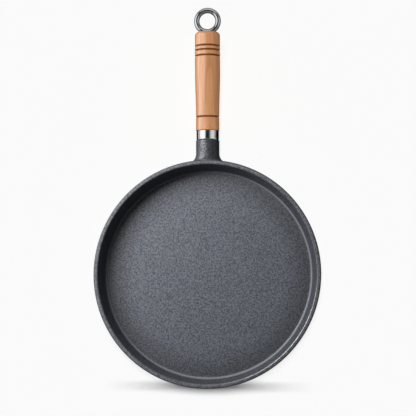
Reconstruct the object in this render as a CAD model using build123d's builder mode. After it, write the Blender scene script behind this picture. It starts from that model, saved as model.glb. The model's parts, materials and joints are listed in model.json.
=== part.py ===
from build123d import *
import math
import os

# Cast crepe pan with a handle that screws into its neck. Lengths are in millimetres, angles in degrees.
# The frame has its origin at the centre of the base's underside, +Z up and the handle towards +Y.

# Pan casting: a shallow dish with a level rim
rim_diameter = 260.0
pan_height = 28.0
floor_thickness = 5.0
rim_width = 4.7
wall_draft = 16.0
rim_outer_round = 2.0
rim_inner_round = 0.7
foot_round = 2.5
base_round = 5.0

# Neck that carries the handle, cast in one with the dish
neck_diameter = 27.0
neck_reach = 24.4
neck_lift = 0.9
handle_rise = 4.0
neck_flare_round = 11.0
neck_root_drop = 0.8
neck_root_depth = 11.0
neck_edge_round = 0.8
flare_steps = 6

# Screw thread that joins the tie rod to the neck
thread_diameter = 8.0
thread_pitch = 1.25
thread_depth_share = 0.6134
thread_crest_share = 0.125
thread_engagement = 15.0
thread_length = 20.0
tapped_depth = 18.0
drill_point_angle = 118.0
tapped_mouth_chamfer = 0.6
rod_tip_chamfer = 0.9

# Ferrule: a thin drawn cup between the neck and the grip
ferrule_diameter = 25.8
ferrule_length = 10.8
ferrule_wall = 1.0
ferrule_outer_round = 1.0
ferrule_inner_round = 0.5
ferrule_mouth_round = 0.3

# Turned wooden grip
grip_length = 114.8
grip_small_diameter = 27.0
grip_large_diameter = 29.1
grip_taper_start = 17.2
grip_taper_end = 70.2
grip_taper_pull_share = 0.4
grip_end_round = 4.0
grip_shoulder_round = 0.5
grip_bore_diameter = 8.8
tenon_chamfer = 0.8
groove_width = 1.6
near_groove = 15.6
far_grooves = (16.7, 21.7, 28.1)

# Hanging ring, with a short shank that is welded to the tie rod
ring_wire = 6.3
ring_inside_diameter = 18.7
ring_seat_depth = 2.4
ring_shank_length = 5.0
ring_weld_bite = 1.2

# Fits and gaps
running_clearance = 0.1
seat_gap = 0.25
ring_seat_clearance = 0.2
overrun = 4.0

# Sizes that follow from the values above
draft = math.radians(wall_draft)
rim_radius = rim_diameter / 2
rim_corner = rim_radius + rim_outer_round * (1 / math.tan(math.pi / 4 - draft / 2) - 1)
base_corner = rim_corner - pan_height * math.tan(draft)
hollow_top = rim_radius - rim_width
hollow_foot = hollow_top - (pan_height - floor_thickness) * math.tan(draft)
neck_radius = neck_diameter / 2
neck_axis_height = neck_lift + neck_radius
thread_radius = thread_diameter / 2
thread_depth = thread_pitch * thread_depth_share
thread_gap = thread_pitch * (1 - thread_crest_share) / 2
rod_hole = thread_radius + running_clearance
drill_point = rod_hole / math.tan(math.radians(drill_point_angle / 2))
ferrule_radius = ferrule_diameter / 2
ferrule_inside = ferrule_radius - ferrule_wall
tenon_radius = ferrule_inside - running_clearance
grip_bore = grip_bore_diameter / 2
grip_small = grip_small_diameter / 2
grip_large = grip_large_diameter / 2
ring_radius = (ring_inside_diameter + ring_wire) / 2

# Stations along the handle's axis, counted outwards from the rim's widest circle
rod_tip = neck_reach - thread_engagement
ferrule_start = neck_reach + seat_gap
ferrule_floor = ferrule_start + ferrule_wall
ferrule_end = ferrule_start + ferrule_length
tenon_start = ferrule_floor + seat_gap
grip_start = ferrule_end + seat_gap
grip_end = grip_start + grip_length
ring_bottom = grip_end - ring_seat_depth
ring_station = ring_bottom + ring_wire / 2 + ring_radius
rod_end = ring_bottom - ring_shank_length

# The handle's axis, a plane square to it, and the plane through it on which its profiles are drawn
rise = math.radians(handle_rise)
handle_root = (0, rim_radius, neck_axis_height)
handle_direction = (0, math.cos(rise), math.sin(rise))
handle_axis = Axis(handle_root, handle_direction)
handle_square = Plane(origin=handle_root, x_dir=(1, 0, 0), z_dir=handle_direction)
handle_section = Plane(origin=handle_root, x_dir=(1, 0, 0), z_dir=(0, -math.sin(rise), math.cos(rise)))

# The neck's flare is an arc, seen from above, that is tangent to the neck and to the rim
flare_reach = rim_radius + neck_flare_round
flare_station = math.sqrt(flare_reach**2 - (neck_radius + neck_flare_round) ** 2) - rim_radius
flare_turn = math.asin((rim_radius + flare_station) / flare_reach)


def flare_plane(turn):
    return handle_square.offset(flare_station - neck_flare_round * math.sin(turn))


def flare_ellipse(turn):
    spread = 1 - math.cos(turn)
    return Ellipse(neck_radius + neck_flare_round * spread, neck_radius - neck_root_drop * spread)


def outermost(corners):
    return corners.sort_by(Axis.X)[-1]


def innermost(corners):
    return corners.sort_by(Axis.X)[0]


def widest_circle(piece, level):
    circles = piece.edges().filter_by(GeomType.CIRCLE)
    return circles.group_by(handle_axis)[level].sort_by(SortBy.RADIUS)[-1]


os.makedirs("parts", exist_ok=True)

# Pan body: dish and neck are one casting, hollowed and faced flat along the rim,
# and the neck is drilled and tapped for the tie rod
with BuildPart() as pan_body:
    with BuildSketch(Plane.XZ) as dish_profile:
        with BuildLine():
            Polyline((0, 0), (base_corner, 0), (rim_corner, pan_height), (0, pan_height), close=True)
        make_face()
        fillet(outermost(dish_profile.vertices().group_by(Axis.Y)[0]), radius=base_round)
        fillet(outermost(dish_profile.vertices().group_by(Axis.Y)[-1]), radius=rim_outer_round)
    revolve(axis=Axis.Z)

    with BuildSketch(handle_square.offset(flare_station)):
        Circle(neck_radius)
    extrude(amount=neck_reach - flare_station)
    neck_face = pan_body.faces().filter_by(GeomType.PLANE).sort_by(handle_axis)[-1]
    fillet(neck_face.edges(), radius=neck_edge_round)

    for step in range(flare_steps + 1):
        with BuildSketch(flare_plane(flare_turn * step / flare_steps)):
            flare_ellipse(flare_turn * step / flare_steps)
    loft()
    with BuildSketch(flare_plane(flare_turn)):
        flare_ellipse(flare_turn)
    extrude(amount=-neck_root_depth)

    with BuildSketch(Plane.XZ) as hollow_profile:
        with BuildLine():
            Polyline(
                (0, floor_thickness),
                (hollow_foot, floor_thickness),
                (hollow_top, pan_height),
                (rim_radius, pan_height),
                (rim_radius, pan_height + overrun),
                (0, pan_height + overrun),
                close=True,
            )
        make_face()
        fillet(outermost(hollow_profile.vertices().group_by(Axis.Y)[0]), radius=foot_round)
        fillet(innermost(hollow_profile.vertices().group_by(Axis.Y)[-2]), radius=rim_inner_round)
    revolve(axis=Axis.Z, mode=Mode.SUBTRACT)

    with BuildSketch(handle_section):
        with BuildLine():
            Polyline(
                (0, neck_reach),
                (rod_hole + tapped_mouth_chamfer, neck_reach),
                (rod_hole, neck_reach - tapped_mouth_chamfer),
                (rod_hole, neck_reach - tapped_depth),
                (0, neck_reach - tapped_depth - drill_point),
                close=True,
            )
        make_face()
    revolve(axis=handle_axis, mode=Mode.SUBTRACT)
pan_body.part.label = "pan_body"
export_step(pan_body.part, "parts/pan_body.step")

# Ferrule: its floor is clamped between the neck and the grip, and its wall caps the grip's tenon
with BuildPart() as ferrule:
    with BuildSketch(handle_section):
        with BuildLine():
            Polyline(
                (rod_hole, ferrule_start),
                (ferrule_radius, ferrule_start),
                (ferrule_radius, ferrule_end),
                (ferrule_inside, ferrule_end),
                (ferrule_inside, ferrule_floor),
                (rod_hole, ferrule_floor),
                close=True,
            )
        make_face()
    revolve(axis=handle_axis)
    fillet(widest_circle(ferrule, 1), radius=ferrule_inner_round)
    fillet(widest_circle(ferrule, 0), radius=ferrule_outer_round)
    fillet(widest_circle(ferrule, -1), radius=ferrule_mouth_round)
ferrule.part.label = "ferrule"
export_step(ferrule.part, "parts/ferrule.step")

# Wooden grip: turned from one piece, bored through, with ring grooves and a seat for the hanging ring
taper_start = grip_start + grip_taper_start
taper_end = grip_start + grip_taper_end
taper_pull = (taper_end - taper_start) * grip_taper_pull_share
with BuildPart() as wooden_grip:
    with BuildSketch(handle_section) as grip_profile:
        with BuildLine():
            Polyline(
                (grip_small, taper_start),
                (grip_small, grip_start),
                (tenon_radius, grip_start),
                (tenon_radius, tenon_start),
                (grip_bore, tenon_start),
                (grip_bore, grip_end),
                (grip_large, grip_end),
                (grip_large, taper_end),
            )
            Bezier(
                (grip_large, taper_end),
                (grip_large, taper_end - taper_pull),
                (grip_small, taper_start + taper_pull),
                (grip_small, taper_start),
            )
        make_face()
        fillet(outermost(grip_profile.vertices().group_by(Axis.Y)[1]), radius=grip_shoulder_round)
        fillet(outermost(grip_profile.vertices().group_by(Axis.Y)[-1]), radius=grip_end_round)
        chamfer(outermost(grip_profile.vertices().group_by(Axis.Y)[0]), length=tenon_chamfer)
    revolve(axis=handle_axis)

    with BuildSketch(handle_section):
        with Locations((grip_small, grip_start + near_groove)):
            Circle(groove_width / 2)
        with Locations([(grip_large, grip_end - distance) for distance in far_grooves]):
            Circle(groove_width / 2)
    revolve(axis=handle_axis, mode=Mode.SUBTRACT)

    with Locations(handle_section):
        with Locations((0, ring_station)):
            Torus(ring_radius, ring_wire / 2 + ring_seat_clearance, mode=Mode.SUBTRACT)
wooden_grip.part.label = "wooden_grip"
export_step(wooden_grip.part, "parts/wooden_grip.step")

# Tie rod: a round bar through the grip, threaded where it enters the neck
with BuildPart() as tie_rod:
    with BuildSketch(handle_section) as rod_profile:
        with BuildLine():
            Polyline(
                (0, rod_tip),
                (thread_radius, rod_tip),
                (thread_radius, rod_end),
                (0, rod_end),
                close=True,
            )
        make_face()
        chamfer(outermost(rod_profile.vertices().group_by(Axis.Y)[0]), length=rod_tip_chamfer)
    revolve(axis=handle_axis)

    with BuildSketch(handle_section):
        for turn in range(int(thread_length / thread_pitch)):
            root = rod_tip + rod_tip_chamfer + thread_pitch * (turn + 1)
            with BuildLine():
                Polyline(
                    (thread_radius - thread_depth, root),
                    (thread_radius, root - thread_gap),
                    (thread_radius + thread_depth, root - thread_gap),
                    (thread_radius + thread_depth, root + thread_gap),
                    (thread_radius, root + thread_gap),
                    close=True,
                )
            make_face()
    revolve(axis=handle_axis, mode=Mode.SUBTRACT)
tie_rod.part.label = "tie_rod"
export_step(tie_rod.part, "parts/tie_rod.step")

# Hanging ring: bent from round wire, closed, with its shank's flat end on the end of the tie rod
with BuildPart() as hanging_ring:
    with Locations(handle_section):
        with Locations((0, ring_station)):
            Torus(ring_radius, ring_wire / 2)
    with BuildSketch(handle_square.offset(rod_end)):
        Circle(thread_radius)
    extrude(amount=ring_shank_length + ring_weld_bite)
hanging_ring.part.label = "hanging_ring"
export_step(hanging_ring.part, "parts/hanging_ring.step")
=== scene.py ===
import json
import math

import bpy
import numpy as np
from mathutils import Matrix, Vector
from mathutils.geometry import interpolate_bezier


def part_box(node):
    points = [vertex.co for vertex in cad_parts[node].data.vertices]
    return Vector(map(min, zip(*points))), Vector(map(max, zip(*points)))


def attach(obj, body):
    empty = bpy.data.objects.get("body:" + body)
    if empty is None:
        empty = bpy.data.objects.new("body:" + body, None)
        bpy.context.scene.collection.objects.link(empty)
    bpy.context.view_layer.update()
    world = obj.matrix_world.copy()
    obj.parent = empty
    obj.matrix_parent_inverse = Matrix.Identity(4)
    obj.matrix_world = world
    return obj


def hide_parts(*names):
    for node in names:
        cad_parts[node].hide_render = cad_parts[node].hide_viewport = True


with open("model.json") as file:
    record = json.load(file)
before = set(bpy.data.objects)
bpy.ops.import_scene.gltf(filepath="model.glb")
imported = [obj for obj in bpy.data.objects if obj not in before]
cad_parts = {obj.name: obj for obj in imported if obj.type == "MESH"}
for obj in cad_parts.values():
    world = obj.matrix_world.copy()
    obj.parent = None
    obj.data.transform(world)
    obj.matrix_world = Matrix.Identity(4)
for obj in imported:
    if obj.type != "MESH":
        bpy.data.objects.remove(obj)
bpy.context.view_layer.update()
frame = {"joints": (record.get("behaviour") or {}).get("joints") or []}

# Pan casting: a shallow dish with a level rim, and the neck that carries the handle, in one piece of
# sand-cast iron. It is shot-blasted, drilled in the neck, oiled and baked dark.
# Lengths are in metres.
rim_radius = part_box("pan_body")[1].x
rim_height = 0.028
rim_width = 0.0047
floor_height = 0.005
wall_slope = math.tan(math.radians(16))
base_round = 0.005
rim_outer_round = 0.002
rim_inner_round = 0.0016
foot_round = 0.0025
dish_steps = 320


class Wire:
    """An output of a node. Maths on it adds Math nodes to its tree."""

    def __init__(self, tree, socket):
        self.tree, self.socket = tree, socket

    def beside(self, output):
        return Wire(self.tree, self.socket.node.outputs[output])

    def maths(self, operation, *others):
        operands = dict(enumerate((self, *others)))
        return self.tree.node("ShaderNodeMath", {"operation": operation}, operands)

    def under(self, operation, first):
        return self.tree.node("ShaderNodeMath", {"operation": operation}, {0: first, 1: self})

    def __add__(self, other):
        return self.maths("ADD", other)

    def __sub__(self, other):
        return self.maths("SUBTRACT", other)

    def __mul__(self, other):
        return self.maths("MULTIPLY", other)

    def __truediv__(self, other):
        return self.maths("DIVIDE", other)

    def __mod__(self, other):
        return self.maths("FLOORED_MODULO", other)

    def __rsub__(self, other):
        return self.under("SUBTRACT", other)

    def __rtruediv__(self, other):
        return self.under("DIVIDE", other)

    __radd__, __rmul__ = __add__, __mul__

    def step(self, start, end):
        """0 where the value is at start, 1 at end, and smooth between them."""
        sockets = {"Value": self, "From Min": start, "From Max": end}
        return self.tree.node("ShaderNodeMapRange", {"interpolation_type": "SMOOTHSTEP"}, sockets)

    def near(self, centre, half_width, edge):
        """1 within half_width of the centre, and 0 past a soft edge."""
        return (self - centre).maths("ABSOLUTE").step(half_width + edge, half_width)


class Tree:
    """A node tree that is built by calls, in Geometry Nodes or in a material."""

    def __init__(self, node_tree):
        self.node_tree = node_tree

    def node(self, kind, settings={}, sockets={}, gives=0):
        made = self.node_tree.nodes.new(kind)
        for name, value in settings.items():
            setattr(made, name, value)
        for name, value in sockets.items():
            for one in value if isinstance(value, list) else [value]:
                if isinstance(one, Wire):
                    self.node_tree.links.new(one.socket, made.inputs[name])
                else:
                    made.inputs[name].default_value = one
        return Wire(self, made.outputs[gives]) if made.outputs else made


def piece_of(name, points, edges=(), faces=()):
    mesh = bpy.data.meshes.new(name)
    mesh.from_pydata([tuple(point) for point in points], edges, faces)
    piece = bpy.data.objects.new(name, mesh)
    bpy.context.scene.collection.objects.link(piece)
    return piece


class Shape(Tree):
    """A Geometry Nodes tree that turns a piece's own mesh, its outline, into its finished mesh."""

    def __init__(self, name):
        super().__init__(bpy.data.node_groups.new(name, "GeometryNodeTree"))
        for side in ("INPUT", "OUTPUT"):
            self.node_tree.interface.new_socket("Geometry", in_out=side, socket_type="NodeSocketGeometry")
        self.entry = Wire(self, self.node_tree.nodes.new("NodeGroupInput").outputs[0])
        self.values = {}

    def given(self, name, kind, value):
        """A named input of the tree."""
        interface = self.node_tree.interface
        socket = interface.new_socket(name, in_out="INPUT", socket_type="NodeSocket" + kind)
        self.values[socket.identifier] = value
        return self.entry.beside(name)

    def copy_of(self, piece):
        wanted = {"Object": self.given(piece.name, "Object", piece)}
        return self.node("GeometryNodeObjectInfo", {}, wanted, "Geometry")

    def turned(self, steps):
        """The outline, drawn as radius in X and height in Z, turned once round the Z axis."""
        steps = self.given("Steps", "Int", steps)
        rows = self.node(
            "GeometryNodeAttributeDomainSize", {}, {"Geometry": self.entry}, "Point Count"
        )
        grid = self.node("GeometryNodeMeshGrid", {}, {"Vertices X": steps + 1, "Vertices Y": rows})
        index = self.node("GeometryNodeInputIndex")
        corner = self.node(
            "GeometryNodeSampleIndex",
            {"data_type": "FLOAT_VECTOR"},
            {
                "Geometry": self.entry,
                "Value": self.node("GeometryNodeInputPosition"),
                "Index": index % rows,
            },
        )
        radius = self.node("ShaderNodeSeparateXYZ", {}, {0: corner})
        angle = (index / rows).maths("FLOOR") * 2 * math.pi / steps
        place = self.node(
            "ShaderNodeCombineXYZ",
            {},
            {0: radius * angle.maths("COSINE"), 1: radius * angle.maths("SINE"), 2: radius.beside("Z")},
        )
        placed = self.node("GeometryNodeSetPosition", {}, {"Geometry": grid, "Position": place})
        return self.node("GeometryNodeMergeByDistance", {}, {"Geometry": placed, "Distance": 1e-6})

    def joined(self, first, second):
        settings = {"operation": "UNION", "solver": "EXACT"}
        return self.node("GeometryNodeMeshBoolean", settings, {"Mesh 2": [first, second]})

    def cut(self, body, cutter):
        settings = {"operation": "DIFFERENCE", "solver": "EXACT"}
        return self.node("GeometryNodeMeshBoolean", settings, {"Mesh 1": body, "Mesh 2": cutter})

    def made(self, name, geometry, outline, material=None):
        """Ends the tree, runs it on the outline, and gives the finished piece."""
        smooth = self.node("GeometryNodeSetShadeSmooth", {}, {"Geometry": geometry})
        real = self.node("GeometryNodeRealizeInstances", {}, {"Geometry": smooth})
        finish = {"Geometry": real, "Material": self.given("Finish", "Material", material)}
        self.node("NodeGroupOutput", {}, {0: self.node("GeometryNodeSetMaterial", {}, finish)})
        piece = piece_of(name, outline, [(index, index + 1) for index in range(len(outline) - 1)])
        modifier = piece.modifiers.new(name, "NODES")
        modifier.node_group = self.node_tree
        for identifier, value in self.values.items():
            modifier[identifier] = value
        shown = piece.evaluated_get(bpy.context.evaluated_depsgraph_get())
        piece.data = bpy.data.meshes.new_from_object(shown)
        piece.modifiers.clear()
        return piece


def rounded(corners, closed=False, arc_steps=8, lead=0.0003, longest=0.012):
    """Points of an outline of (radius, height, round) corners. A point just before and after each
    arc keeps smooth shading on the arc, and long straights are divided."""
    points = []
    for index, (radius, height, arc_radius) in enumerate(corners):
        here = Vector((radius, height))
        if not arc_radius:
            points.append(here)
            continue
        back = (Vector(corners[index - 1][:2]) - here).normalized()
        onward = (Vector(corners[(index + 1) % len(corners)][:2]) - here).normalized()
        half = back.angle(onward) / 2
        reach = arc_radius / math.tan(half)
        centre = here + (back + onward).normalized() * arc_radius / math.sin(half)
        spoke = here + back * reach - centre
        turn = math.copysign(math.pi - 2 * half, back.cross(onward))
        points.append(here + back * (reach + lead))
        for step in range(arc_steps + 1):
            points.append(centre + Matrix.Rotation(-turn * step / arc_steps, 2) @ spoke)
        points.append(here + onward * (reach + lead))
    if closed:
        points.append(points[0])
    divided = [points[0]]
    for start, end in zip(points, points[1:]):
        parts = max(1, math.ceil((end - start).length / longest))
        divided += [start.lerp(end, part / parts) for part in range(1, parts + 1)]
    return [(point.x, 0, point.y) for point in divided]


rim_corner = rim_radius + rim_outer_round * (1 / math.tan((math.pi / 2 - math.atan(wall_slope)) / 2) - 1)
base_corner = rim_corner - rim_height * wall_slope
hollow_top = rim_radius - rim_width
hollow_foot = hollow_top - (rim_height - floor_height) * wall_slope
outer_corners = [(0, 0, 0), (base_corner, 0, base_round), (rim_corner, rim_height, rim_outer_round)]
hollow_corners = [
    (hollow_top, rim_height, rim_inner_round),
    (hollow_foot, floor_height, foot_round),
    (0, floor_height, 0),
]

# The neck leaves the dish along the handle's axis, and flares into the rim
neck_radius = 0.0135
neck_reach = 0.0244
neck_edge_round = 0.0008
neck_steps = 144
flare_round = 0.011
flare_drop = 0.0008
screw = next(joint for joint in frame["joints"] if joint["name"] == "handle_turn")
along = np.array(screw["axis"])
across = np.array([1.0, 0.0, 0.0])
upward = np.cross(across, along)
root = np.array(screw["pos_m"]) - along * (screw["pos_m"][1] - rim_radius) / along[1]
handle_place = Matrix.Translation(root) @ Matrix.Rotation(math.asin(along[2]) - math.pi / 2, 4, "X")
flare_reach = rim_radius + flare_round
flare_start = math.sqrt(flare_reach**2 - (neck_radius + flare_round) ** 2) - rim_radius
flare_lean = (rim_radius + flare_start) / flare_reach

# Where neck and dish meet, the mould leaves a fillet, widest half-way up the wall
middle_fillet = 0.0055
edge_fillet = 0.0012
fillet_spread = 1.2
skin_gap = 0.00004
wall_middle = 0.0055
cap_depth = 0.0012


def unit(vectors):
    return vectors / np.linalg.norm(vectors, axis=-1, keepdims=True)


def scaled(vectors, amounts):
    return vectors * np.asarray(amounts)[..., None]


def slope_of(level, places, reach=1e-6):
    """Gradient of a level function, by central differences."""
    sides = [level(places + step) - level(places - step) for step in np.eye(3) * reach]
    return np.stack(sides, axis=-1) / (2 * reach)


def crossing(level, inside, outside, halvings=40):
    """Where a level function passes zero between two sets of places."""
    for _ in range(halvings):
        middle = (inside + outside) / 2
        within = (level(middle) < 0)[..., None]
        inside, outside = np.where(within, middle, inside), np.where(within, outside, middle)
    return (inside + outside) / 2


def dish_level(places):
    """Distance outside the dish's outer shape, whose half-section is convex."""
    section = np.array(rounded(outer_corners + [(0, rim_height, 0)]))[:, ::2]
    side = unit(np.diff(section, axis=0))
    outward = np.stack([side[:, 1], -side[:, 0]], axis=1)
    flat = np.stack([np.hypot(places[..., 0], places[..., 1]), places[..., 2]], axis=-1)
    return np.max(flat @ outward.T - np.sum(section[:-1] * outward, axis=1), axis=-1)


def neck_size(station):
    """Half-width and half-height of the neck, which flares sideways into the rim."""
    lean = np.arcsin(np.clip((flare_start - station) / flare_round, 0, flare_lean))
    return neck_radius + flare_round * (1 - np.cos(lean)), neck_radius - flare_drop * (1 - np.cos(lean))


def neck_level(places):
    offset = places - root
    half_width, half_height = neck_size(offset @ along)
    return np.hypot(offset @ across / half_width, offset @ upward / half_height) - 1


def on_neck(station, angle):
    """Places on the neck at a station along its axis and an angle round it."""
    half_width, half_height = neck_size(station)
    spokes = scaled(across, half_width * np.cos(angle)) + scaled(upward, half_height * np.sin(angle))
    return root + scaled(along, station) + spokes


def fillet_at(places):
    level = np.clip(places[..., 2] / rim_height, 0, 1)
    return edge_fillet + (middle_fillet - edge_fillet) * 4 * level * (1 - level)


def casting_level(places):
    """The dish and the neck, run together in the fillet."""
    dish = dish_level(places) + skin_gap
    neck = neck_level(places) / np.linalg.norm(slope_of(neck_level, places), axis=-1)
    fillet = fillet_at(places)
    share = np.clip(0.5 + (dish - neck) / fillet / 2, 0, 1)
    return dish + (neck - dish) * share - fillet * share * (1 - share)


def neck_rings():
    """Rings of points that leave the pan's wall round the neck and run along it to its face."""
    angle = np.linspace(0, 2 * math.pi, neck_steps, endpoint=False)
    straight = neck_reach - neck_edge_round
    inside, outside = np.full(neck_steps, -2 * wall_middle), np.full(neck_steps, straight)
    for _ in range(40):
        middle = (inside + outside) / 2
        within = dish_level(on_neck(middle, angle)) < 0
        inside, outside = np.where(within, middle, inside), np.where(within, outside, middle)
    seam_station, seam = inside, on_neck(inside, angle)
    seam_reach = fillet_at(seam) * fillet_spread
    wall_side, neck_side = unit(slope_of(dish_level, seam)), unit(slope_of(neck_level, seam))
    away = unit(np.cross(np.roll(seam, -1, axis=0) - np.roll(seam, 1, axis=0), wall_side))
    away *= np.sign(np.sum(away * neck_side, axis=1, keepdims=True))

    def settled(spot, heading):
        return crossing(casting_level, spot - heading * cap_depth / 2, spot + heading * middle_fillet)

    rings = []
    for share in np.linspace(1, 0, 8, endpoint=False):
        spot = seam + scaled(away, seam_reach * share)
        for _ in range(3):
            facing = unit(slope_of(dish_level, spot))
            spot = spot - scaled(facing, dish_level(spot))
        rings.append(settled(spot, unit(facing * (1 + share) + neck_side * (1 - share))))
    rings.insert(0, rings[0] - unit(slope_of(dish_level, rings[0])) * cap_depth)
    for share in np.linspace(0, 1, 30) ** 1.7:
        station = seam_station + (straight - seam_station) * share
        spot = on_neck(station, angle)
        left = np.clip((station - seam_station) / seam_reach, 0, 1)
        facing = unit(slope_of(neck_level, spot))
        rings.append(settled(spot, unit(scaled(wall_side, 1 - left) + scaled(facing, 1 + left))))
    spokes = (rings[-1] - root - along * straight) / neck_radius
    for turn in np.linspace(0, math.pi / 2, 7)[1:]:
        radius = neck_radius - neck_edge_round * (1 - math.cos(turn))
        station = straight + neck_edge_round * math.sin(turn)
        rings.append(root + along * station + spokes * radius)
    rings.append(root + along * neck_reach + spokes * (neck_radius - 2 * neck_edge_round))
    return rings


def ringed_piece(name, rings, start, end):
    """A closed piece of rings of points, with one point at each end."""
    count, last_row = len(rings[0]), (len(rings) - 1) * len(rings[0])
    points = [*np.concatenate(rings), start, end]
    faces = []
    for index in range(count):
        after = (index + 1) % count
        for row in range(0, last_row, count):
            faces.append((row + index, row + count + index, row + count + after, row + after))
        faces.append((len(points) - 2, index, after))
        faces.append((len(points) - 1, last_row + after, last_row + index))
    return piece_of(name, points, faces=faces)


neck = ringed_piece("neck", neck_rings(), root - along * wall_middle, root + along * neck_reach)

# The neck is drilled for the handle's rod, with a chamfer at the mouth
bore_radius = 0.0041
bore_depth = 0.018
bore_chamfer = 0.0006
drill_point = bore_radius / math.tan(math.radians(118 / 2))
overrun = 0.002
bore_corners = [
    (0, neck_reach - bore_depth - drill_point, 0),
    (bore_radius, neck_reach - bore_depth, 0),
    (bore_radius, neck_reach - bore_chamfer, 0),
    (bore_radius + bore_chamfer + overrun, neck_reach + overrun, 0),
    (0, neck_reach + overrun, 0),
]
bore_shape = Shape("bore")
bore = bore_shape.made("bore", bore_shape.turned(48), rounded(bore_corners))
bore.data.transform(handle_place)


class Finish(Tree):
    """A material of one Principled shader, with its maths in object coordinates."""

    def __init__(self, name):
        self.material = bpy.data.materials.new(name)
        self.material.use_nodes = True
        super().__init__(self.material.node_tree)
        self.node_tree.nodes.clear()
        self.place = self.node("ShaderNodeTexCoord", gives="Object")

    def noise(self, size, detail=2, roughness=0.5, place=None):
        """Noise whose lumps are about the given size across."""
        place = place or self.place
        sockets = {"Vector": place, "Scale": 1 / size, "Detail": detail, "Roughness": roughness}
        return self.node("ShaderNodeTexNoise", {}, sockets)

    def mixed(self, factor, first, second):
        """A colour between two colours."""
        return self.node("ShaderNodeMix", {"data_type": "RGBA"}, {0: factor, 6: first, 7: second}, 2)

    def bumped(self, height, depth):
        """The normal of a surface whose height, from 0 to 1, stands for the given depth."""
        return self.node("ShaderNodeBump", {}, {"Height": height, "Distance": depth})

    def shaded(self, **sockets):
        """Ends the material. Socket names are written with underscores."""
        named = {name.replace("_", " "): value for name, value in sockets.items()}
        surface = self.node("ShaderNodeBsdfPrincipled", {}, named)
        self.node("ShaderNodeOutputMaterial", {}, {"Surface": surface})
        return self.material


def cast_iron():
    """Blasted iron with a pebbled grain. The skin is darker outside, where the sand left it lumpy. The
    floor darkens towards the wall and the inner walls are dark: this is painted shade. The rim's lip
    and the foot are rubbed smoother, and the foot's lighter line is a painted highlight."""
    iron = Finish("cast_iron")
    place = iron.node("ShaderNodeSeparateXYZ", {}, {0: iron.place})
    east, north, height = place, place.beside("Y"), place.beside("Z")
    radius = (east * east + north * north).maths("SQRT")
    grain = iron.noise(0.0018, 2, 0.58)
    grit = iron.noise(0.0005, 2, 0.6)
    lumps = iron.noise(0.0042, 2, 0.5)
    cloud = iron.noise(0.03, 3, 0.55)
    leaning = radius + (rim_height - height) * wall_slope
    outside = leaning.step(rim_radius - 0.0022, rim_radius - 0.0004)
    rim = height.step(rim_height - 0.002, rim_height - 0.001) * (1 - outside)
    lip = rim * leaning.step(hollow_top + 0.0016, hollow_top + 0.001)
    # The foot is smoother and coated, and the lighter colour along it is a painted highlight
    smooth_foot_and_painted_highlight = radius.near(hollow_foot + 0.0004, 0.0006, 0.0005) * height.step(0.002, 0.004)
    neck_skin = radius.step(rim_radius, rim_radius + 0.003)
    # Painted shade: the floor's colour darkens towards the wall, and the inner walls stay dark
    painted_wall_shade = radius.step(0.084, hollow_foot)
    outer_skin_and_painted_shade = (painted_wall_shade * (1 - rim)).maths("MAXIMUM", outside)
    tone = grain.step(0.3, 0.71) * 0.88 + grit.step(0.3, 0.7) * 0.14
    dark = iron.mixed(cloud.step(0.3, 0.7), (0.026, 0.029, 0.036, 1), (0.036, 0.04, 0.05, 1))
    bare = iron.mixed(tone, dark, (0.16, 0.173, 0.211, 1))
    faced = iron.mixed(tone, (0.043, 0.044, 0.05, 1), (0.18, 0.184, 0.21, 1))
    # Dark tone of the outside skin, which is also the painted shade on the inner walls and the floor's
    # edge
    dark_skin_and_painted_shade_tone = iron.mixed(tone, (0.015, 0.016, 0.0193, 1), (0.081, 0.086, 0.1045, 1))
    outer_skin_and_painted_shade_colour = iron.mixed(outside * 0.35, dark_skin_and_painted_shade_tone, (0.04, 0.0395, 0.05, 1))
    flat = iron.mixed(rim, bare, faced)
    return iron.shaded(
        # The lighter colour at the foot is a painted highlight
        Base_Color=iron.mixed(smooth_foot_and_painted_highlight, iron.mixed(outer_skin_and_painted_shade, flat, outer_skin_and_painted_shade_colour), (0.215, 0.226, 0.255, 1)),
        Roughness=0.62 - neck_skin * 0.2 - grain * 0.1 - (lip + smooth_foot_and_painted_highlight) * 0.4 + rim * 0.08,
        Coat_Weight=(lip + smooth_foot_and_painted_highlight * 0.7).maths("MINIMUM", 1),
        Coat_Roughness=0.2,
        Normal=iron.bumped(grain * 0.7 + grit * 0.3 + lumps * (outside + neck_skin * 1.5), 0.0003),
    )


casting = Shape("pan_casting")
joined = casting.joined(casting.turned(dish_steps), casting.copy_of(neck))
bored = casting.cut(joined, casting.copy_of(bore))
pan_casting = casting.made("pan_casting", bored, rounded(outer_corners + hollow_corners), cast_iron())
for tool in (neck, bore):
    bpy.data.objects.remove(tool)
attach(pan_casting, "pan")
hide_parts("pan_body")

# Ferrule: a thin cup drawn from stainless steel sheet and polished, which caps the grip's tenon.
# The handle's rod clamps its floor between the neck and the wood.
ferrule_radius = 0.0129
ferrule_length = 0.0108
ferrule_wall = 0.001
ferrule_outer_round = 0.001
ferrule_inner_round = 0.0005
ferrule_mouth_round = 0.0003
seat_gap = 0.00025
ferrule_start = neck_reach + seat_gap
ferrule_end = ferrule_start + ferrule_length
ferrule_corners = [
    (bore_radius, ferrule_start, 0),
    (ferrule_radius, ferrule_start, ferrule_outer_round),
    (ferrule_radius, ferrule_end, ferrule_mouth_round),
    (ferrule_radius - ferrule_wall, ferrule_end, ferrule_mouth_round),
    (ferrule_radius - ferrule_wall, ferrule_start + ferrule_wall, ferrule_inner_round),
    (bore_radius, ferrule_start + ferrule_wall, 0),
]


def turned_piece(name, outline, steps, material=None, cutters=()):
    """A piece turned round the handle's axis, on which its outline's heights are stations."""
    shape = Shape(name)
    body = shape.turned(steps)
    for cutter in cutters:
        body = shape.cut(body, shape.copy_of(cutter))
    piece = shape.made(name, body, outline, material)
    piece.data.transform(handle_place)
    for cutter in cutters:
        bpy.data.objects.remove(cutter)
    return piece


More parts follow.
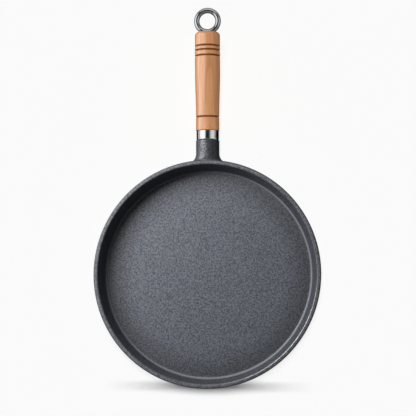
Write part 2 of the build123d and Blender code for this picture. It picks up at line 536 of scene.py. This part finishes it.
class HandleFinish(Finish):
    """A material whose coordinates lie along the handle, with its axis as Z."""

    def __init__(self, name):
        super().__init__(name)
        self.turn(handle_place.inverted())

    def turn(self, matrix):
        sockets = {"Vector": self.place, "Location": matrix.translation, "Rotation": matrix.to_euler()}
        self.place = self.node("ShaderNodeMapping", {"vector_type": "POINT"}, sockets)

    def stretched(self, sizes):
        """The coordinates divided by a size along each axis."""
        return self.node("ShaderNodeVectorMath", {"operation": "DIVIDE"}, {0: self.place, 1: sizes})

    def streaks(self, sizes, detail=2, roughness=0.5):
        """Noise whose lumps have the given sizes across, up and along the handle."""
        sockets = {"Vector": self.stretched(sizes), "Scale": 1, "Detail": detail, "Roughness": roughness}
        return self.node("ShaderNodeTexNoise", {}, sockets)


def polished_steel():
    """Polish marks run round the cup, a twentieth of a millimetre wide, with a few wipe marks."""
    steel = HandleFinish("polished_steel")
    marks = steel.streaks((0.02, 0.02, 0.00035), 3, 0.6)
    wiped = steel.streaks((0.006, 0.006, 0.002), 2, 0.5)
    return steel.shaded(
        Metallic=1,
        Base_Color=steel.mixed(marks, (0.62, 0.62, 0.63, 1), (0.72, 0.72, 0.73, 1)),
        Roughness=0.17 + marks * 0.06 + wiped * 0.04,
        Normal=steel.bumped(marks, 0.000001),
    )


ferrule_cup = turned_piece("ferrule_cup", rounded(ferrule_corners, closed=True), 128, polished_steel())
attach(ferrule_cup, "ferrule")
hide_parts("ferrule")

# Wooden grip: one piece of beech turned to a long swelling taper and bored through, with its tenon
# in the ferrule. The four ring grooves are burnt in with a wire while it spins, and then it is oiled.
grip_length = 0.1148
grip_small = 0.0135
grip_large = 0.01455
grip_bore = 0.0044
grip_end_round = 0.004
grip_shoulder_round = 0.0005
tenon_radius = 0.0118
tenon_chamfer = 0.0008
taper_start_reach = 0.0172
taper_end_reach = 0.0702
taper_pull_share = 0.4
groove_half = 0.00085
groove_floor_half = 0.00045
groove_depth = 0.00078
groove_lip_round = 0.0003
groove_floor_round = 0.0005
near_groove_reach = 0.0156
far_groove_reaches = (0.0281, 0.0217, 0.0167)

tenon_start = ferrule_start + ferrule_wall + seat_gap
grip_start = ferrule_end + seat_gap
grip_end = grip_start + grip_length
near_groove = grip_start + near_groove_reach
far_grooves = [grip_end - reach for reach in far_groove_reaches]
taper_start, taper_end = grip_start + taper_start_reach, grip_start + taper_end_reach
taper_pull = (taper_end - taper_start) * taper_pull_share


def groove(radius, station):
    return [
        (radius, station - groove_half, groove_lip_round),
        (radius - groove_depth, station - groove_floor_half, groove_floor_round),
        (radius - groove_depth, station + groove_floor_half, groove_floor_round),
        (radius, station + groove_half, groove_lip_round),
    ]


def ring_outline(radius, distance, steps):
    """A closed circle of points, at a distance from the axis it is turned round."""
    turns = [2 * math.pi * step / steps for step in range(steps + 1)]
    return [(distance + radius * math.cos(turn), 0, radius * math.sin(turn)) for turn in turns]


taper = interpolate_bezier(
    (grip_small, taper_start, 0),
    (grip_small, taper_start + taper_pull, 0),
    (grip_large, taper_end - taper_pull, 0),
    (grip_large, taper_end, 0),
    24,
)
grip_corners = [
    (grip_bore, tenon_start, 0),
    (tenon_radius - tenon_chamfer, tenon_start, 0),
    (tenon_radius, tenon_start + tenon_chamfer, 0),
    (tenon_radius, grip_start, 0),
    (grip_small, grip_start, grip_shoulder_round),
    *groove(grip_small, near_groove),
    *[(point.x, point.y, 0) for point in taper],
    *[corner for station in far_grooves for corner in groove(grip_large, station)],
    (grip_large, grip_end, grip_end_round),
    (grip_bore, grip_end, 0.0004),
]

# The ring's seat is milled across the grip's end
ring_wire = 0.00315
ring_radius = 0.0125
ring_seat_depth = 0.0024
ring_seat_clearance = 0.0002
ring_bottom = grip_end - ring_seat_depth
ring_station = ring_bottom + ring_wire + ring_radius
ring_place = Matrix.Translation((0, 0, ring_station)) @ Matrix.Rotation(math.pi / 2, 4, "X")
seat_shape = Shape("ring_seat")
seat_outline = ring_outline(ring_wire + ring_seat_clearance, ring_radius, 48)
ring_seat = seat_shape.made("ring_seat", seat_shape.turned(128), seat_outline)
ring_seat.data.transform(ring_place)


def beech():
    """Growth rings of a trunk that lies behind the grip and leans across it, so that they close in a
    tall arch on its front. Fine dark rays fleck it, and the grooves are burnt."""
    wood = HandleFinish("beech")
    station = wood.node("ShaderNodeSeparateXYZ", {}, {0: wood.place}, "Z")
    pith = (-0.005, 0.02, 0)
    offset = wood.node("ShaderNodeVectorMath", {"operation": "SUBTRACT"}, {0: wood.place, 1: pith})
    flat = wood.node("ShaderNodeVectorMath", {"operation": "MULTIPLY"}, {0: offset, 1: (1, 1, 0)})
    from_pith = wood.node("ShaderNodeVectorMath", {"operation": "LENGTH"}, {0: flat}, "Value")
    bent = wood.streaks((0.012, 0.012, 0.11), 2, 0.5)
    rings = ((from_pith + bent * 0.004 - station * 0.045) / 0.0031 + 0.34) % 1
    late = rings.step(0.45, 0.95) * (1 - rings.step(0.96, 1))
    fibres = wood.streaks((0.0006, 0.0006, 0.03), 3, 0.6)
    bands = wood.streaks((0.0035, 0.0035, 0.09), 2, 0.5)
    rays = wood.streaks((0.00028, 0.00028, 0.0024), 1, 0.5).step(0.66, 0.78)
    light = wood.mixed(bands.step(0.25, 0.75), (0.5, 0.215, 0.084, 1), (0.6, 0.29, 0.125, 1))
    figured = wood.mixed(late * 0.5, light, (0.37, 0.15, 0.056, 1))
    grained = wood.mixed(fibres.step(0.35, 0.75) * 0.35, figured, (0.34, 0.145, 0.058, 1))
    rayed = wood.mixed(rays * 0.35, grained, (0.25, 0.1, 0.04, 1))
    burnt = sum(station.near(place, 0.0007, 0.0009) for place in (near_groove, *far_grooves))
    scorch = wood.streaks((0.004, 0.004, 0.002), 2, 0.6)
    singed = sum(station.near(place, 0.0006, 0.0014) for place in (near_groove, *far_grooves))
    warm = wood.mixed(singed * scorch * 0.3, rayed, (0.26, 0.09, 0.03, 1))
    return wood.shaded(
        Base_Color=wood.mixed(burnt * (0.8 + scorch * 0.4), warm, (0.19, 0.055, 0.007, 1)),
        Roughness=0.3 + fibres * 0.08 + rays * 0.1 + burnt * 0.6,
        Specular_IOR_Level=1.0,
        Normal=wood.bumped(fibres * 0.7 + rays * 0.3, 0.00006),
    )


grip_outline = rounded(grip_corners, closed=True, longest=0.006)
wooden_handle = turned_piece("wooden_handle", grip_outline, 128, beech(), [ring_seat])
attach(wooden_handle, "handle")
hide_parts("wooden_grip")

# Tie rod: a round steel bar that runs through the grip and screws into the neck, where it has a
# rolled M8 thread. It is bright zinc-plated.
rod_radius = 0.004
rod_tip_chamfer = 0.0009
thread_pitch = 0.00125
thread_depth = 0.6134 * thread_pitch
thread_flank = 0.4375 * thread_pitch
thread_engagement = 0.015
thread_length = 0.02
thread_rows = 12
ring_shank_length = 0.005
rod_tip = neck_reach - thread_engagement
rod_end = ring_bottom - ring_shank_length
thread_end = rod_tip + thread_length
row_gap = thread_pitch / thread_rows
thread_stations = np.arange(rod_tip + rod_tip_chamfer, thread_end + thread_pitch, row_gap)


def threaded(shape, rod):
    """The rod with its radius cut down where the helix of the thread passes."""
    place = shape.node("ShaderNodeSeparateXYZ", {}, {0: shape.node("GeometryNodeInputPosition")})
    across, over, station = place, place.beside("Y"), place.beside("Z")
    radius = (across * across + over * over).maths("SQRT")
    angle = over.maths("ARCTAN2", across)
    turn = (station - rod_tip) / shape.given("Pitch", "Float", thread_pitch) - angle / (2 * math.pi)
    from_root = (turn % 1 - 0.5).maths("ABSOLUTE") * thread_pitch
    run_out = station.step(thread_end + thread_pitch / 2, thread_end - thread_pitch / 2)
    depth = (1 - from_root / thread_flank).maths("MAXIMUM", 0) * run_out * thread_depth
    share = radius.maths("MINIMUM", rod_radius - depth) / radius.maths("MAXIMUM", row_gap)
    placed = {0: across * share, 1: over * share, 2: station}
    moved = {"Geometry": rod, "Position": shape.node("ShaderNodeCombineXYZ", {}, placed)}
    return shape.node("GeometryNodeSetPosition", {}, moved)


def zinc_plate():
    """Bright zinc, faintly clouded, with marks of the rolled bar along it."""
    zinc = HandleFinish("zinc_plate")
    cloud = zinc.noise(0.0012, 3, 0.6, zinc.place)
    drawn = zinc.streaks((0.0002, 0.0002, 0.01), 2, 0.5)
    return zinc.shaded(
        Metallic=1,
        Base_Color=zinc.mixed(cloud, (0.53, 0.54, 0.54, 1), (0.68, 0.69, 0.7, 1)),
        Roughness=0.26 + cloud * 0.14,
        Normal=zinc.bumped(drawn, 0.000008),
    )


rod_corners = [
    (0, rod_tip, 0),
    (rod_radius - rod_tip_chamfer, rod_tip, 0),
    *[(rod_radius, station, 0) for station in thread_stations],
    (rod_radius, rod_end, 0),
    (0, rod_end, 0),
]
rod_shape = Shape("threaded_rod")
threaded_rod = rod_shape.made(
    "threaded_rod", threaded(rod_shape, rod_shape.turned(72)), rounded(rod_corners), zinc_plate()
)
threaded_rod.data.transform(handle_place)
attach(threaded_rod, "handle")
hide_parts("tie_rod")

# Hanging ring: round steel wire bent into a closed ring, welded to a short shank on the rod's end
# and chrome-plated. The shank stands in the grip's bore.
weld_height = 0.0012
bead_radius = 0.0042
shank_corners = [
    (0, rod_end, 0),
    (rod_radius, rod_end, 0),
    (rod_radius, ring_bottom - weld_height, 0.0004),
    (bead_radius, ring_bottom - weld_height / 2, 0.0004),
    (ring_wire, ring_bottom + weld_height, 0.0004),
    (0, ring_bottom + weld_height, 0),
]
shank_shape = Shape("ring_shank")
ring_shank = shank_shape.made("ring_shank", shank_shape.turned(64), rounded(shank_corners))


def chrome():
    """Mirror-bright plating with faint rub marks from the hook that it hangs on."""
    plate = HandleFinish("chrome")
    rubbed = plate.noise(0.0016, 3, 0.6, plate.place)
    return plate.shaded(
        Metallic=1,
        Base_Color=plate.mixed(rubbed, (0.43, 0.44, 0.45, 1), (0.51, 0.52, 0.53, 1)),
        Roughness=0.05 + rubbed.step(0.45, 0.8) * 0.06,
        Normal=plate.bumped(rubbed, 0.000004),
    )


ring_shape = Shape("chrome_ring")
wire_outline = ring_outline(ring_wire, ring_radius, 48)
wire_ring = ring_shape.turned(192)
turned_up = ring_shape.node(
    "GeometryNodeTransform",
    {},
    {"Geometry": wire_ring, "Translation": (0, 0, ring_station), "Rotation": (math.pi / 2, 0, 0)},
)
joined = ring_shape.joined(turned_up, ring_shape.copy_of(ring_shank))
chrome_ring = ring_shape.made("chrome_ring", joined, wire_outline, chrome())
chrome_ring.data.transform(handle_place)
bpy.data.objects.remove(ring_shank)
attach(chrome_ring, "handle")
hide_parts("hanging_ring")

# Studio: a white table, softboxes at the upper left for the iron and for the grip, panels that light
# only the polished metal, and the camera over the pan. The table has lamps of its own, nearly overhead,
# so that the pan's shadow lies close below it.
white = 0.956
table_albedo = 0.3
table_glow = 0.05
room_light = 0.02
table_half = 4
table_corners = [(x * table_half, y * table_half, 0) for x, y in ((-1, -1), (1, -1), (1, 1), (-1, 1))]
table = piece_of("table", table_corners, faces=[(0, 1, 2, 3)])
table_finish = Finish("table")
seen_by_camera = table_finish.node("ShaderNodeLightPath", gives="Is Camera Ray")
table_paint = table_finish.shaded(
    Base_Color=(table_albedo, table_albedo, table_albedo, 1),
    Roughness=1,
    Specular_IOR_Level=0,
    Emission_Color=(1, 1, 1, 1),
    Emission_Strength=seen_by_camera * table_glow,
)
table.data.materials.append(table_paint)

# A black card lies under the handle, and only the metal's reflections show it
card_height = 0.0005
card_corners = [(-0.09, 0.137), (0.35, 0.137), (0.35, 0.42), (-0.05, 0.42)]
card = piece_of("card", [(x, y, card_height) for x, y in card_corners], faces=[(0, 1, 2, 3)])
card_finish = Finish("card")
card.data.materials.append(card_finish.shaded(Base_Color=(0.01, 0.01, 0.01, 1), Specular_IOR_Level=0))
card.visible_shadow = False

# A flag, which only the main one of the table's lamps meets, shades the table close round the pan's
# base with a disc, and below the pan with a band that narrows to its ends
flag_height = 0.031
band_length = 0.23
band_half_width = 0.006
band_spread = 0.044
band_east, band_north = 0.003, -0.1227
band_steps = 40
disc_radius = 0.1245
disc_shift = Vector((0.0016, 0.0058))
disc_steps = 96
band_places = [band_length * (step / band_steps - 0.5) for step in range(band_steps + 1)]
band_widths = [band_half_width * math.exp(-((x / band_spread) ** 2) / 2) for x in band_places]
band_sizes = list(zip(band_places, band_widths))
near_side = [(x + band_east, band_north - width, flag_height) for x, width in band_sizes]
far_side = [(x + band_east, band_north + width, flag_height) for x, width in band_sizes]
band = near_side + far_side[::-1]
disc_turns = [2 * math.pi * step / disc_steps for step in range(disc_steps)]
disc_edge = [Vector((math.cos(turn), math.sin(turn))) * disc_radius + disc_shift for turn in disc_turns]
disc = [(*point, flag_height) for point in disc_edge]
flag_faces = [tuple(range(len(band))), tuple(range(len(band), len(band) + len(disc)))]
flag = piece_of("flag", band + disc, faces=flag_faces)
flag.data.materials.append(card.data.materials[0])
flag.visible_glossy = False
for thing in (card, flag):
    thing.visible_camera = thing.visible_diffuse = thing.visible_transmission = False


def lamp(name, kind, bearing, elevation, distance=1.0):
    """A lamp that shines on the middle of the pan from a bearing and an elevation in degrees."""
    data = bpy.data.lights.new(name, kind)
    swung = Matrix.Rotation(math.radians(bearing), 4, "Z")
    raised = Matrix.Rotation(-math.radians(elevation), 4, "Y")
    side = swung @ raised @ Vector((1, 0, 0))
    light = bpy.data.objects.new(name, data)
    bpy.context.scene.collection.objects.link(light)
    light.location = side * distance
    light.rotation_euler = (-side).to_track_quat("-Z", "Y").to_euler()
    return light


def only(name, things, state):
    """A light-linking group of things that a lamp lights alone, or leaves out."""
    group = bpy.data.collections.new(name)
    for thing in things:
        group.objects.link(thing)
    for member in group.collection_objects:
        member.light_linking.link_state = state
    return group


polished = [ferrule_cup, threaded_rod, chrome_ring]
iron_alone = only("iron_alone", [pan_casting], "INCLUDE")
grip_alone = only("grip_alone", [wooden_handle], "INCLUDE")
polished_alone = only("polished_alone", polished, "INCLUDE")
table_alone = only("table_alone", [table], "INCLUDE")
flag_alone = only("flag_alone", [flag], "INCLUDE")
without_flag = only("without_flag", [flag], "EXCLUDE")
without_flag_or_ring = only("without_flag_or_ring", [flag, chrome_ring], "EXCLUDE")
boxes = (
    ("left_box", 150, 35, 0.67, 0.37, 0.56, iron_alone),
    ("top_box", 132, 50, 0.67, 0.27, 0.45, iron_alone),
    ("grip_left_box", 161, 30, 0.75, 1.05, 0.6, grip_alone),
    ("grip_top_box", 114, 52, 0.75, 0.5, 0.4, grip_alone),
    ("grip_fill", 5, 30, 0.75, 0.4, 0.22, grip_alone),
)
for name, bearing, elevation, distance, size, share, receivers in boxes:
    box = lamp(name, "AREA", bearing, elevation, distance)
    box.data.shape, box.data.size = "DISK", size
    box.data.energy = share * math.pi**2 * distance**2 / math.sin(math.radians(elevation))
    box.light_linking.receiver_collection = receivers
    box.light_linking.blocker_collection = without_flag
    box.visible_glossy = name not in ("grip_top_box", "grip_fill")

panel_distance = 2
panels = (
    ("left_panel", 168, 40, 1.25, 2.3),
    ("right_panel", 12, 33, 0.62, 1.65),
    ("far_panel", 90, 40, 0.7, 1.7),
)
for name, bearing, elevation, brightness, size in panels:
    panel = lamp(name, "AREA", bearing, elevation, panel_distance)
    panel.data.shape, panel.data.size = "DISK", size
    panel.data.energy = brightness * math.pi**2 * size**2 / 4
    panel.light_linking.receiver_collection = polished_alone
    panel.light_linking.blocker_collection = without_flag

table_bearing, table_elevation = 75, 79
table_softness = math.radians(22)
table_light = (white - table_glow) / table_albedo - room_light
table_lamps = (("table_lamp", 0.82, flag_alone), ("table_fill", 0.18, without_flag_or_ring))
for name, share, blockers in table_lamps:
    sun = lamp(name, "SUN", table_bearing, table_elevation)
    sun.data.angle = table_softness
    sun.data.energy = share * math.pi * table_light / math.sin(math.radians(table_elevation))
    sun.light_linking.receiver_collection = table_alone
    sun.light_linking.blocker_collection = blockers

camera_data = bpy.data.cameras.new("camera")
camera_data.lens = 95.1
camera_place, camera_aim = Vector((0.12337, -0.06168, 1.26888)), Vector((0.00183, 0.07422, 0.028))
camera_roll = math.radians(0.242)
camera = bpy.data.objects.new("camera", camera_data)
bpy.context.scene.collection.objects.link(camera)
looking = camera_aim - camera_place
sideways = looking.cross(Vector((0, 1, 0))).normalized()
sideways.rotate(Matrix.Rotation(-camera_roll, 3, looking))
turned = Matrix((sideways, sideways.cross(looking).normalized(), -looking.normalized())).transposed()
camera.matrix_world = Matrix.Translation(camera_place) @ turned.to_4x4()
bpy.context.scene.camera = camera
bpy.context.scene.view_settings.view_transform = "Standard"

# Reflections show a dim room that is dark straight overhead
room_glow = 0.3
world = bpy.data.worlds.new("studio")
bpy.context.scene.world = world
world.use_nodes = True
world.node_tree.nodes.clear()
room = Tree(world.node_tree)
heading = room.node("ShaderNodeTexCoord", gives="Generated")
height = room.node("ShaderNodeSeparateXYZ", {}, {0: heading}, "Z")
camera_ray = room.node("ShaderNodeLightPath", gives="Is Camera Ray")
glossy_ray = camera_ray.beside("Is Glossy Ray")
seen = camera_ray * white + glossy_ray * height.step(0.95, 0.88) * room_glow
lit = (1 - camera_ray) * (1 - glossy_ray) * room_light
sky = room.node("ShaderNodeBackground", {}, {"Color": (1, 1, 1, 1), "Strength": seen + lit})
room.node("ShaderNodeOutputWorld", {}, {"Surface": sky})
